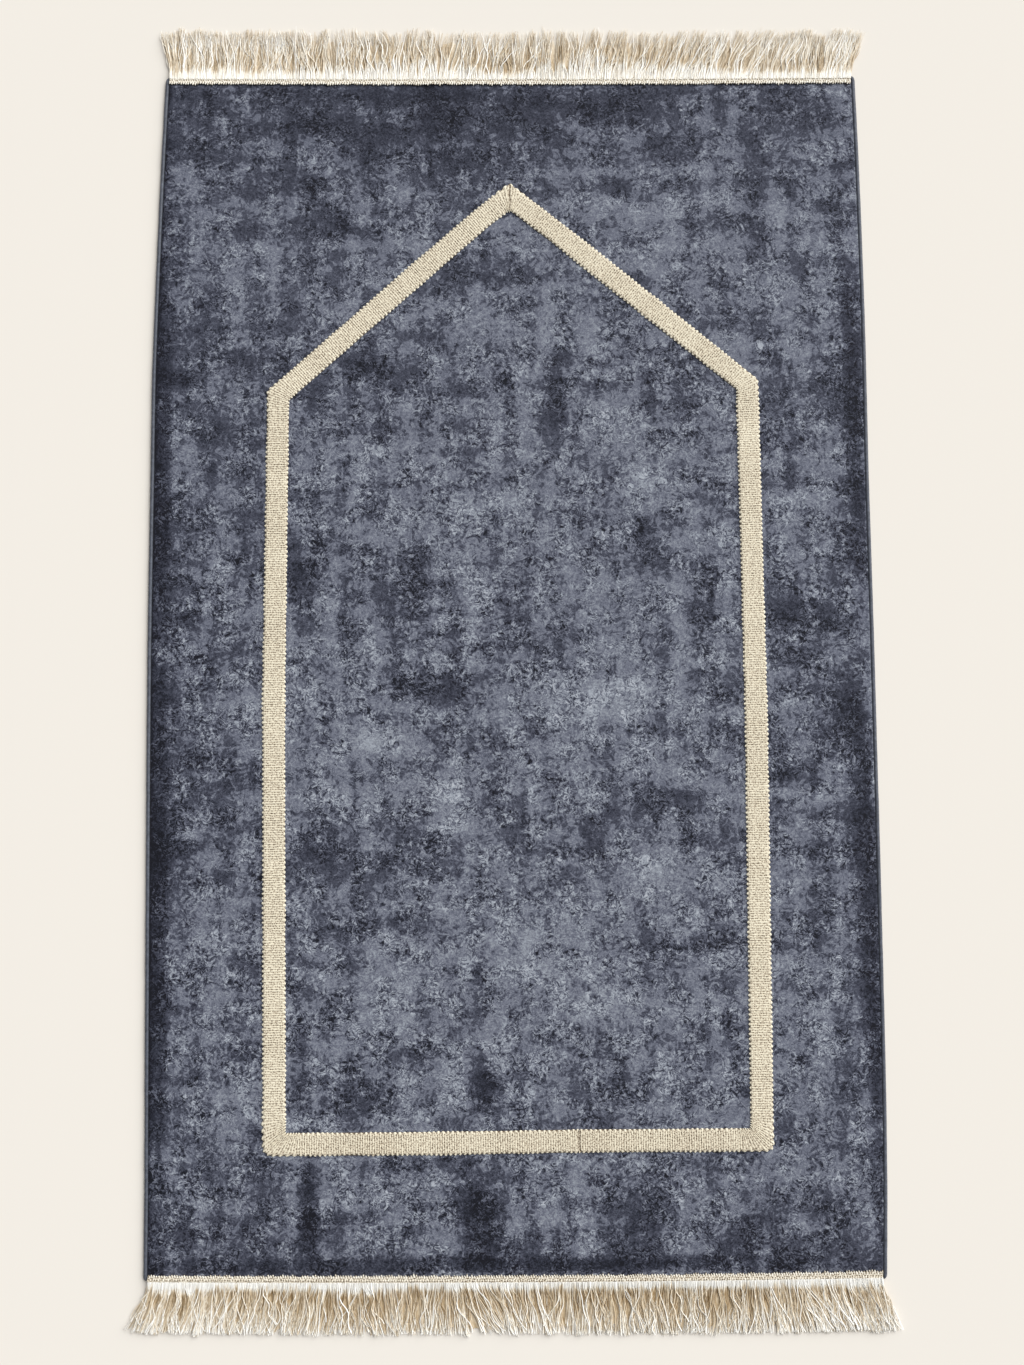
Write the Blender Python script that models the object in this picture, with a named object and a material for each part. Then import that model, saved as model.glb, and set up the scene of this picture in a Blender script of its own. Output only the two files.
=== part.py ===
"""A flat prayer rug: one velvet panel with an arch of braid sewn on it, a binding along each long
edge and a silky fringe on a narrow heading tape along each end.

Metres, +Z up. The rug lies on z = 0, its length along Y with the arch's point towards +Y (the far
end), its width along X. The origin is under the middle of the cloth.
"""
import math
import random
from collections import namedtuple

import bmesh
import bpy

# Widths and heights of the pieces
SEAM_GAP = 0.0003        # kept between two pieces that are sewn together
HALF_WIDTH = 0.350       # to the outer face of a binding, at the middle of the rug
PILE_THICK = 0.0040      # velvet face, padding and backing together
BOUND_THICK = 0.0030     # the same beside a binding, where the stitches hold it down
TAPED_THICK = 0.0026     # the same under a heading tape
SIDE_SINK = 0.016        # width over which the pile sinks towards a binding
END_SINK = 0.007         # length over which it sinks towards a heading tape
BINDING_WIDTH = 0.0037
BINDING_HIGH = 0.0040
BINDING_PAST_END = 0.0040    # how far a binding runs on past the pile that shows
TAPE_WIDTH = 0.0056
TAPE_THICK = 0.0015
TAPE_OVERHANG = 0.0010       # how far a heading tape stands out past the cloth under it
BRAID_WIDTH = 0.0215
BRAID_THICK = 0.0017
BRAID_EDGE_HIGH = 0.0009     # height of the braid's thin outer edge
BRAID_CROWN_INSET = 0.0022   # from that edge to its full height

# The long sides, to the outer faces of the bindings. The cloth is drawn in towards the far end,
# most at its left corner, and a little at the near right corner.
Side = namedtuple("Side", "along left right")
SIDES = (
    Side(-0.600, -0.3491, 0.3452),
    Side(-0.500, -0.3489, 0.3484),
    Side(-0.400, -0.3495, 0.3498),
    Side(-0.220, -0.3502, 0.3504),
    Side(0.010, -0.3506, 0.3503),
    Side(0.185, -0.3493, 0.3497),
    Side(0.275, -0.3487, 0.3500),
    Side(0.335, -0.3472, 0.3500),
    Side(0.425, -0.3442, 0.3493),
    Side(0.500, -0.3414, 0.3482),
    Side(0.600, -0.3369, 0.3461),
)

# The two ends of the pile that shows: where the end crosses the middle line, how far it leans for
# each metre across, how far its corners curve towards +Y, and which way is outwards.
End = namedtuple("End", "middle lean bow outward")
FAR_END = End(0.5779, -0.0054, 0.0011, 1)
NEAR_END = End(-0.5797, -0.0068, 0.0021, -1)

# The braid's centre line, from one cut end round the arch to the other. The cut ends meet in the
# near run, a little out of line. reach is how much of a full mitre the outer corner has.
Corner = namedtuple("Corner", "across along reach")
BRAID_ROUTE = (
    Corner(0.0590 + SEAM_GAP, -0.4542, 1.00),
    Corner(0.2313, -0.4545, 0.88),
    Corner(0.2343, -0.0600, 1.00),
    Corner(0.2326, 0.2690, 0.96),
    Corner(0.0480, 0.4231, 1.00),
    Corner(0.0026, 0.4584, 1.00),
    Corner(-0.0250, 0.4368, 1.00),
    Corner(-0.0760, 0.3936, 1.00),
    Corner(-0.2247, 0.2624, 0.94),
    Corner(-0.2280, -0.0300, 1.00),
    Corner(-0.2266, -0.4552, 0.84),
    Corner(-0.0800, -0.4562, 1.00),
    Corner(0.0590, -0.4551, 1.00),
)
CORNER_RUN = 0.007       # the braid is pressed down over this length on both sides of a corner
CREASE_DEPTH = 0.0005
FOLD_TURN = math.radians(12)   # a turn sharper than this is a folded corner

# The fringe's locks: how far along the lock, height of the underside, thickness and width share
LOCKS = 120
LOCK_FILL = 0.77         # share of the pitch that a lock's root takes up
Ring = namedtuple("Ring", "share under thick width")
LOCK_RINGS = (
    Ring(0.13, 0.0014, 0.0018, 0.94),
    Ring(0.29, 0.0000, 0.0019, 0.90),
    Ring(0.66, 0.0000, 0.0017, 0.96),
    Ring(1.00, 0.0000, 0.0009, 0.48),
)
# Each fringe: its end of the rug, the locks' length at the left and right, how far the corner
# locks' tips splay outwards at the left and right, and the whole fringe's drift towards +X
Fringe = namedtuple("Fringe", "name end length_left length_right splay_left splay_right drift")
FRINGES = (
    Fringe("fringe_far", FAR_END, 0.0450, 0.0430, 0.0100, 0.0095, 0.0022),
    Fringe("fringe_near", NEAR_END, 0.0455, 0.0470, 0.0158, 0.0122, 0.0004),
)
SPLAY_RUN = 0.045        # the splay dies out over this distance from a corner
MEANDER = 0.0014         # slow sideways wander of the tips
MEANDER_PITCH = 0.135
TIP_JITTER = 0.00025
LENGTH_JITTER = 0.0016


def side_at(along, column):
    """A long side's place at a given length, on a smooth curve through SIDES."""
    last = len(SIDES) - 2
    i = max(0, min(last, sum(s.along <= along for s in SIDES) - 1))
    before, a, b, after = (SIDES[max(0, min(last + 1, i + k))] for k in (-1, 0, 1, 2))
    span = b.along - a.along
    t = (along - a.along) / span
    value = [getattr(s, column) for s in (before, a, b, after)]
    slope_a = (value[2] - value[0]) / (b.along - before.along) * span
    slope_b = (value[3] - value[1]) / (after.along - a.along) * span
    return (value[1] * (1 + 2 * t) * (1 - t) ** 2 + slope_a * t * (1 - t) ** 2
            + value[2] * t * t * (3 - 2 * t) + slope_b * t * t * (t - 1))


def end_at(end, across, past):
    """An end line's place along Y, moved outwards by past."""
    return end.middle + end.lean * across + end.bow * (across / HALF_WIDTH) ** 2 + end.outward * past


def smooth_rise(share):
    share = max(0.0, min(1.0, share))
    return share * share * (3 - 2 * share)


def new_material(name, colour, roughness):
    material = bpy.data.materials.new(name)
    material.use_nodes = True
    shader = material.node_tree.nodes["Principled BSDF"]
    shader.inputs["Base Color"].default_value = (*colour, 1)
    shader.inputs["Roughness"].default_value = roughness
    shader.inputs["Metallic"].default_value = 0.0
    material.diffuse_color = (*colour, 1)
    return material


def new_piece(name, bm, material):
    """Close a mesh as one named object, its faces turned outwards."""
    bmesh.ops.recalc_face_normals(bm, faces=bm.faces)
    mesh = bpy.data.meshes.new(name)
    bm.to_mesh(mesh)
    bm.free()
    mesh.materials.append(material)
    piece = bpy.data.objects.new(name, mesh)
    bpy.context.scene.collection.objects.link(piece)
    return piece


def bridge(bm, ring_a, ring_b):
    """Quads between two rings that have the same number of corners."""
    count = len(ring_a)
    for i in range(count):
        j = (i + 1) % count
        bm.faces.new((ring_a[i], ring_a[j], ring_b[j], ring_b[i]))


def loft(bm, rings):
    """One closed tube through rings of points, with a flat cap at both ends."""
    made = [[bm.verts.new(point) for point in ring] for ring in rings]
    for ring_a, ring_b in zip(made, made[1:]):
        bridge(bm, ring_a, ring_b)
    bm.faces.new(made[0])
    bm.faces.new(list(reversed(made[-1])))


def build_pile_cloth(material):
    """The velvet panel: flat below, full height inside, sinking to its bound and taped edges."""
    bound_edge = BINDING_WIDTH + SEAM_GAP
    # Places from a bound edge inwards, as shares of the sink, and across the middle of the rug
    side_shares = (0.0, 0.25, 0.6, 1.0)
    middle_columns = (-0.240, -0.120, 0.120, 0.240)
    # Rows near an end: how far past the pile that shows, and share of the sink
    end_rows = ((TAPE_WIDTH - TAPE_OVERHANG, 0.0), (0.0, 0.0), (-0.45 * END_SINK, 0.6), (-END_SINK, 1.0))
    middle_rows = 16
    rows = 2 * len(end_rows) + middle_rows

    def row_at(row, across):
        """One row's place along Y at a given place across, and its share of the end's sink."""
        from_far = rows - 1 - row
        if row < len(end_rows):
            return end_at(NEAR_END, across, end_rows[row][0]), end_rows[row][1]
        if from_far < len(end_rows):
            return end_at(FAR_END, across, end_rows[from_far][0]), end_rows[from_far][1]
        low = end_at(NEAR_END, across, -END_SINK)
        high = end_at(FAR_END, across, -END_SINK)
        return low + (high - low) * (row - len(end_rows) + 1) / (middle_rows + 1), 1.0

    bm = bmesh.new()
    top, bottom = [], []
    for row in range(rows):
        left_edge = side_at(row_at(row, -HALF_WIDTH)[0], "left") + bound_edge
        right_edge = side_at(row_at(row, HALF_WIDTH)[0], "right") - bound_edge
        places = [(left_edge + share * SIDE_SINK, share) for share in side_shares]
        places += [(x, 1.0) for x in middle_columns]
        places += [(right_edge - share * SIDE_SINK, share) for share in reversed(side_shares)]
        upper, lower = [], []
        for x, side_share in places:
            along, end_share = row_at(row, x)
            height = min(BOUND_THICK + (PILE_THICK - BOUND_THICK) * smooth_rise(side_share),
                         TAPED_THICK + (PILE_THICK - TAPED_THICK) * smooth_rise(end_share))
            upper.append(bm.verts.new((x, along, height)))
            lower.append(bm.verts.new((x, along, 0.0)))
        top.append(upper)
        bottom.append(lower)
    for sheet in (top, bottom):
        for row_a, row_b in zip(sheet, sheet[1:]):
            for i in range(len(row_a) - 1):
                bm.faces.new((row_a[i], row_a[i + 1], row_b[i + 1], row_b[i]))
    for upper, lower in ((top[0], bottom[0]), (top[-1], bottom[-1]),
                         ([row[0] for row in top], [row[0] for row in bottom]),
                         ([row[-1] for row in top], [row[-1] for row in bottom])):
        for i in range(len(upper) - 1):
            bm.faces.new((upper[i], upper[i + 1], lower[i + 1], lower[i]))
    return new_piece("pile_cloth", bm, material)


def build_mihrab_braid(material):
    """The arch: one strip of flat braid, folded to a mitre at each corner of its route."""
    base = PILE_THICK + SEAM_GAP
    half = BRAID_WIDTH / 2
    crown = half - BRAID_CROWN_INSET

    def direction(a, b):
        length = math.hypot(b.across - a.across, b.along - a.along)
        return (b.across - a.across) / length, (b.along - a.along) / length

    def section(place, normal, stretch, reach, drop):
        """A cross-section of the strip: normal points to the outer side of the arch."""
        height = BRAID_THICK - drop
        profile = ((-half, 0.0), (-half, BRAID_EDGE_HIGH), (-crown, height),
                   (crown, height), (half, BRAID_EDGE_HIGH), (half, 0.0))
        return [(place[0] + normal[0] * w * stretch * (reach if w > 0 else 1),
                 place[1] + normal[1] * w * stretch * (reach if w > 0 else 1), base + h)
                for w, h in profile]

    rings = []
    for i, corner in enumerate(BRAID_ROUTE):
        ahead = direction(corner, BRAID_ROUTE[i + 1]) if i < len(BRAID_ROUTE) - 1 else None
        behind = direction(BRAID_ROUTE[i - 1], corner) if i > 0 else None
        ahead, behind = ahead or behind, behind or ahead
        turn = math.atan2(behind[0] * ahead[1] - behind[1] * ahead[0],
                          behind[0] * ahead[0] + behind[1] * ahead[1])
        middle = math.atan2(behind[1], behind[0]) + turn / 2
        normal = (math.sin(middle), -math.cos(middle))
        place = (corner.across, corner.along)
        folded = abs(turn) > FOLD_TURN
        if folded:
            before = tuple(p - d * (CORNER_RUN + half * abs(math.tan(turn / 2)))
                           for p, d in zip(place, behind))
            rings.append(section(before, (behind[1], -behind[0]), 1.0, 1.0, 0.0))
        rings.append(section(place, normal, 1 / math.cos(turn / 2), corner.reach,
                             CREASE_DEPTH if folded else 0.0))
        if folded:
            after = tuple(p + d * (CORNER_RUN + half * abs(math.tan(turn / 2)))
                          for p, d in zip(place, ahead))
            rings.append(section(after, (ahead[1], -ahead[0]), 1.0, 1.0, 0.0))
    bm = bmesh.new()
    loft(bm, rings)
    return new_piece("mihrab_braid", bm, material)


def build_binding(name, column, outward, material):
    """The tape folded round one long edge: a low roll that runs on a little past both ends."""
    # Across from the outer face, and height, of the roll's cross-section
    profile = ((0.0005, 0.0), (0.0, 0.0009), (0.0, 0.0024), (0.0007, 0.0035), (0.0019, BINDING_HIGH),
               (0.0033, 0.0036), (BINDING_WIDTH, 0.0027), (BINDING_WIDTH, 0.0))
    # How far inside its end, how far the outer face has turned in, and what height is left
    rounding = ((0.0, 0.0019, 0.62), (0.0008, 0.0010, 0.82), (0.0024, 0.0003, 0.96), (0.0050, 0.0, 1.0))
    inner_stations = 23
    across = outward * HALF_WIDTH
    low = end_at(NEAR_END, across, BINDING_PAST_END)
    high = end_at(FAR_END, across, BINDING_PAST_END)
    stations = [(low + inside, turned, kept) for inside, turned, kept in rounding]
    first, final = low + rounding[-1][0], high - rounding[-1][0]
    stations += [(first + (final - first) * (k + 1) / (inner_stations + 1), 0.0, 1.0)
                 for k in range(inner_stations)]
    stations += [(high - inside, turned, kept) for inside, turned, kept in reversed(rounding)]
    rings = []
    for along, turned, kept in stations:
        outer = side_at(along, column)
        squeeze = 1 - turned / BINDING_WIDTH
        rings.append([(outer - outward * (turned + inset * squeeze), along, height * kept)
                      for inset, height in profile])
    bm = bmesh.new()
    loft(bm, rings)
    return new_piece(name, bm, material)


def build_fringe(fringe, material, seed):
    """A heading tape on the cloth's end, and the locks that grow out of its outer side."""
    rng = random.Random(seed)
    end = fringe.end
    inside_binding = BINDING_WIDTH + 2 * SEAM_GAP
    tape_left = side_at(end.middle, "left") + inside_binding
    tape_right = side_at(end.middle, "right") - inside_binding
    pitch = (tape_right - tape_left) / LOCKS
    low = TAPED_THICK + SEAM_GAP
    high = low + TAPE_THICK

    def tip_shift(x):
        """How far a lock's tip stands to the side of its root."""
        splay = (fringe.splay_right * math.exp(-(tape_right - x) / SPLAY_RUN)
                 - fringe.splay_left * math.exp(-(x - tape_left) / SPLAY_RUN))
        wander = MEANDER * math.sin(2 * math.pi * x / MEANDER_PITCH + seed)
        return splay + wander + fringe.drift

    def tape_section(bm, x):
        inner = end_at(end, x, SEAM_GAP)
        outer = end_at(end, x, TAPE_WIDTH)
        corners = ((inner, low), (inner, high), (outer, high), (outer, low))
        return [bm.verts.new((x, along, height)) for along, height in corners]

    def lock_ring(bm, x, reach, ring, shift):
        half = pitch * LOCK_FILL * ring.width / 2
        centre = x + shift * ring.share ** 1.4
        along = end_at(end, x, TAPE_WIDTH + reach * ring.share)
        return [bm.verts.new(p) for p in (
            (centre - half, along, ring.under + ring.thick), (centre - half, along, ring.under),
            (centre + half, along, ring.under), (centre + half, along, ring.under + ring.thick))]

    bm = bmesh.new()
    section = tape_section(bm, tape_left)
    bm.faces.new(section)
    for lock in range(LOCKS):
        root = tape_left + (lock + 0.5) * pitch
        gap_end = tape_section(bm, root - pitch * LOCK_FILL / 2)
        lock_end = tape_section(bm, root + pitch * LOCK_FILL / 2)
        bridge(bm, section, gap_end)
        # The lock's root is the tape's outer side, so only the other three sides close here
        for i in (0, 1, 3):
            j = (i + 1) % 4
            bm.faces.new((gap_end[i], gap_end[j], lock_end[j], lock_end[i]))
        share = (root - tape_left) / (tape_right - tape_left)
        length = fringe.length_left + (fringe.length_right - fringe.length_left) * share
        reach = length + rng.uniform(-LENGTH_JITTER, LENGTH_JITTER)
        shift = tip_shift(root) + rng.uniform(-TIP_JITTER, TIP_JITTER)
        ring = [gap_end[2], gap_end[3], lock_end[3], lock_end[2]]
        for step in LOCK_RINGS:
            following = lock_ring(bm, root, reach, step, shift)
            bridge(bm, ring, following)
            ring = following
        bm.faces.new(ring)
        section = lock_end
    final = tape_section(bm, tape_right)
    bridge(bm, section, final)
    bm.faces.new(list(reversed(final)))
    return new_piece(fringe.name, bm, material)


def build_rug():
    for leftover in list(bpy.data.objects):
        bpy.data.objects.remove(leftover, do_unlink=True)
    velvet = new_material("slate_velvet", (0.090, 0.102, 0.140), 0.85)
    gimp = new_material("cream_braid", (0.730, 0.635, 0.420), 0.70)
    tape = new_material("slate_binding", (0.075, 0.088, 0.125), 0.55)
    build_pile_cloth(velvet)
    build_mihrab_braid(gimp)
    build_binding("binding_left", "left", -1, tape)
    build_binding("binding_right", "right", 1, tape)
    for number, fringe in enumerate(FRINGES):
        rayon = new_material(fringe.name + "_rayon", (0.640, 0.545, 0.390), 0.40)
        build_fringe(fringe, rayon, number + 1)


build_rug()
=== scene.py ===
"""Prayer rug lying flat: a slate crushed-velvet panel with a mihrab laid out in cream gimp braid,
turned bindings down both sides, and a looped heading tape with a long rayon fringe at each end."""

import math
from collections import namedtuple

import bpy
import numpy as np
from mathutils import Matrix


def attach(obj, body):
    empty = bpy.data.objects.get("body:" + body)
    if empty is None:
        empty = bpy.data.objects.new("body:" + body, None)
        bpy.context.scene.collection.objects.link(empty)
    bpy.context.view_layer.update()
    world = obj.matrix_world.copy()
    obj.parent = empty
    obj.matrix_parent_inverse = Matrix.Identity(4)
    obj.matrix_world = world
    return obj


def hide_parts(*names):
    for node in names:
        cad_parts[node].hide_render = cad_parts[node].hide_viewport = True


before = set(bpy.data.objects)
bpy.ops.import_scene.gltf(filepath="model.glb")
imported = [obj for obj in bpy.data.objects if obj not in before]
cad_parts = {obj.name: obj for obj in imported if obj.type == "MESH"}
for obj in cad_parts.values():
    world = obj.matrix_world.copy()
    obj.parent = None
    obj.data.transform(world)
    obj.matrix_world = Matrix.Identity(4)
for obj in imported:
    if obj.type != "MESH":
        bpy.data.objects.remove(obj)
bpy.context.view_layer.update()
bpy.ops.object.select_all(action="DESELECT")

# ---------------------------------------------------------------------------------------------
# The room. A plain warm-white floor under one very broad soft light from the upper right, with
# a weak fill all round, seen from above by a 50 mm lens.

FLOOR_SIZE = 14.0
KEY_HIGH = math.radians(42)
KEY_ROUND = math.radians(38)
KEY_SPREAD = math.radians(70)
KEY_STRENGTH = 4.03
FILL_STRENGTH = 0.25
LENS = 50
CAMERA_PLACE = (-0.0043, -0.1982, 1.8182)
CAMERA_TURN = [math.radians(a) for a in (5.57, -0.098, -0.537)]


def from_hex(code):
    """The linear colour that an sRGB hex value stands for."""
    shares = [int(code[i:i + 2], 16) / 255 for i in (0, 2, 4)]
    return tuple(s / 12.92 if s <= 0.04045 else ((s + 0.055) / 1.055) ** 2.4 for s in shares) + (1.0,)


def new_material(name):
    """A material with its Principled shader still at the defaults."""
    material = bpy.data.materials.new(name)
    material.use_nodes = True
    return material, material.node_tree, material.node_tree.nodes["Principled BSDF"]


bpy.ops.mesh.primitive_plane_add(size=FLOOR_SIZE, location=(0, 0, 0))
floor = bpy.context.object
floor.name = "floor"
# Matt white paint, which takes the rug's soft shadow and gives back no shine.
material, tree, shader = new_material("painted_floor")
shader.inputs["Base Color"].default_value = from_hex("e9e4dc")
shader.inputs["Roughness"].default_value = 0.9
shader.inputs["Specular IOR Level"].default_value = 0.1
floor.data.materials.append(material)

bpy.ops.object.light_add(type="SUN", location=(1.5, 1.2, 2.5),
                         rotation=(0, math.pi / 2 - KEY_HIGH, KEY_ROUND))
key = bpy.context.object
key.name = "broad_softbox"
key.data.angle = KEY_SPREAD
key.data.energy = KEY_STRENGTH
key.data.color = (1.0, 0.995, 0.985)

world = bpy.data.worlds.new("studio_fill")
bpy.context.scene.world = world
world.use_nodes = True
world.node_tree.nodes["Background"].inputs["Color"].default_value = (1.0, 1.0, 1.0, 1.0)
world.node_tree.nodes["Background"].inputs["Strength"].default_value = FILL_STRENGTH

bpy.ops.object.camera_add(location=CAMERA_PLACE, rotation=CAMERA_TURN)
camera = bpy.context.object
camera.name = "camera"
camera.data.lens = LENS
camera.data.sensor_width = 36
bpy.context.scene.camera = camera
bpy.context.scene.view_settings.view_transform = "Standard"

# ---------------------------------------------------------------------------------------------
# The panel: polyester velvet, cut to the rug's uneven outline, its pile steamed and crushed in
# bars and patches that catch the light. It thins where the bindings and the tapes hold it, with
# shade painted on it along them.

SEAM_GAP = 0.0003
HALF_WIDTH = 0.350
PILE_THICK = 0.0040
BOUND_THICK = 0.0030
TAPED_THICK = 0.0026
SIDE_SINK = 0.016
END_SINK = 0.006
BINDING_WIDTH = 0.0037
TAPE_WIDTH = 0.0056
TAPE_OVERHANG = 0.0010
# How far the far and the near tape reach over the pile, at the rug's left and at its right.
TAPE_INSET = {1: (0.0018, 0.0031), -1: (0.0006, 0.0028)}
PANEL_CELLS = (236, 400)
CROWDING = 0.075
PILE_DIP = 0.0004
# Painted shade on the pile beside the left binding and a painted highlight beside the right one:
# their tones at the left and right, and how far in they reach.
BOUND_SHADE_AND_HIGHLIGHT = (-0.30, 0.08)
BOUND_RUN = 0.0018
MARK_FALL = 0.7
# Ripples in the pile: waves to the metre across and along, and where each starts.
RIPPLES = ((11.3, 3.1, 0.4), (-7.7, 9.7, 2.2), (3.9, -15.1, 4.9), (19.7, 6.3, 1.3), (-5.3, -21.9, 3.7))

# The bindings' outer faces across the rug, at places along it.
Side = namedtuple("Side", "along left right")
SIDES = [Side(*row) for row in (
    (-0.600, -0.3491, 0.3452), (-0.500, -0.3489, 0.3484), (-0.400, -0.3495, 0.3498),
    (-0.220, -0.3502, 0.3504), (0.010, -0.3506, 0.3503), (0.185, -0.3493, 0.3497),
    (0.275, -0.3487, 0.3500), (0.335, -0.3472, 0.3500), (0.425, -0.3442, 0.3493),
    (0.500, -0.3414, 0.3482), (0.600, -0.3369, 0.3461))]
# Where the pile that shows ends on the middle line, how that end leans and bows, and its way out.
End = namedtuple("End", "middle lean bow outward")
FAR_END = End(0.5779, -0.0054, 0.0011, 1)
NEAR_END = End(-0.5797, -0.0068, 0.0021, -1)


def side_at(along, column):
    """How far across a binding's outer face is, on a smooth curve through the SIDES table."""
    last = len(SIDES) - 2
    i = max(0, min(last, sum(s.along <= along for s in SIDES) - 1))
    before, a, b, after = (SIDES[max(0, min(last + 1, i + k))] for k in (-1, 0, 1, 2))
    span = b.along - a.along
    t = (along - a.along) / span
    value = [getattr(s, column) for s in (before, a, b, after)]
    slope_a = (value[2] - value[0]) / (b.along - before.along) * span
    slope_b = (value[3] - value[1]) / (after.along - a.along) * span
    return (value[1] * (1 + 2 * t) * (1 - t) ** 2 + slope_a * t * (1 - t) ** 2
            + value[2] * t * t * (3 - 2 * t) + slope_b * t * t * (t - 1))


LENGTHWISE = np.linspace(-0.60, 0.60, 481)
EDGES = {column: np.array([side_at(y, column) for y in LENGTHWISE]) for column in ("left", "right")}


def edge_at(along, column):
    """The same for many places at once."""
    return np.interp(along, LENGTHWISE, EDGES[column])


def end_at(end, across, past):
    """How far along a point is that lies past the end of the pile that shows."""
    return end.middle + end.lean * across + end.bow * (across / HALF_WIDTH) ** 2 + end.outward * past


def inset_at(end, across):
    """How far a tape reaches over the pile, which differs from its left to its right."""
    left_inset, right_inset = TAPE_INSET[end.outward]
    return left_inset + (right_inset - left_inset) * (0.5 + across / HALF_WIDTH / 2)


def ease(share):
    """A share from 0 to 1 that starts and stops gently."""
    share = np.clip(share, 0, 1)
    return share * share * (3 - 2 * share)


def lay_grid(name, points):
    """A sheet of quads through rows and columns of points."""
    rows, columns = points.shape[:2]
    bpy.ops.mesh.primitive_grid_add(x_subdivisions=columns - 1, y_subdivisions=rows - 1)
    piece = bpy.context.object
    piece.name = piece.data.name = name
    piece.data.vertices.foreach_set("co", points.astype(np.float32).ravel())
    piece.data.update()
    return piece


def tell(piece, name, values):
    """Give the piece's points a value that its material reads."""
    attribute = piece.data.attributes.new(name, "FLOAT", "POINT")
    attribute.data.foreach_set("value", np.asarray(values, np.float32).ravel())


def face_out(smooth_to):
    """Leave edit mode with every face turned outwards and edges smooth up to so many degrees."""
    bpy.ops.mesh.select_all(action="SELECT")
    bpy.ops.mesh.normals_make_consistent(inside=False)
    bpy.ops.object.mode_set(mode="OBJECT")
    bpy.ops.object.shade_smooth_by_angle(angle=math.radians(smooth_to))


def finish_piece(piece, material, node):
    """Give the piece its material and its body, and hide the CAD node that it stands for."""
    piece.data.materials.append(material)
    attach(piece, "root")
    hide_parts(node)


def crowd(count):
    """Shares from 0 to 1, set closer together near both ends."""
    share = np.linspace(0, 1, count + 1)
    return share - CROWDING * np.sin(2 * np.pi * share)


u, v = np.meshgrid(crowd(PANEL_CELLS[0]), crowd(PANEL_CELLS[1]))
under_tape = TAPE_WIDTH - TAPE_OVERHANG
x = (2 * u - 1) * HALF_WIDTH
# The ends bow across the rug and the sides along it, so a few rounds settle both.
for settle in range(3):
    near = end_at(NEAR_END, x, under_tape)
    far = end_at(FAR_END, x, under_tape)
    y = near + (far - near) * v
    left = edge_at(y, "left") + BINDING_WIDTH + SEAM_GAP
    right = edge_at(y, "right") - BINDING_WIDTH - SEAM_GAP
    x = left + (right - left) * u
side_share = ease(np.minimum(x - left, right - x) / SIDE_SINK)
from_tape = np.minimum(far - y - inset_at(FAR_END, x), y - near - inset_at(NEAR_END, x)) - under_tape
end_share = ease(from_tape / END_SINK)
thick = np.minimum(BOUND_THICK + (PILE_THICK - BOUND_THICK) * side_share,
                   TAPED_THICK + (PILE_THICK - TAPED_THICK) * end_share)
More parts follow.
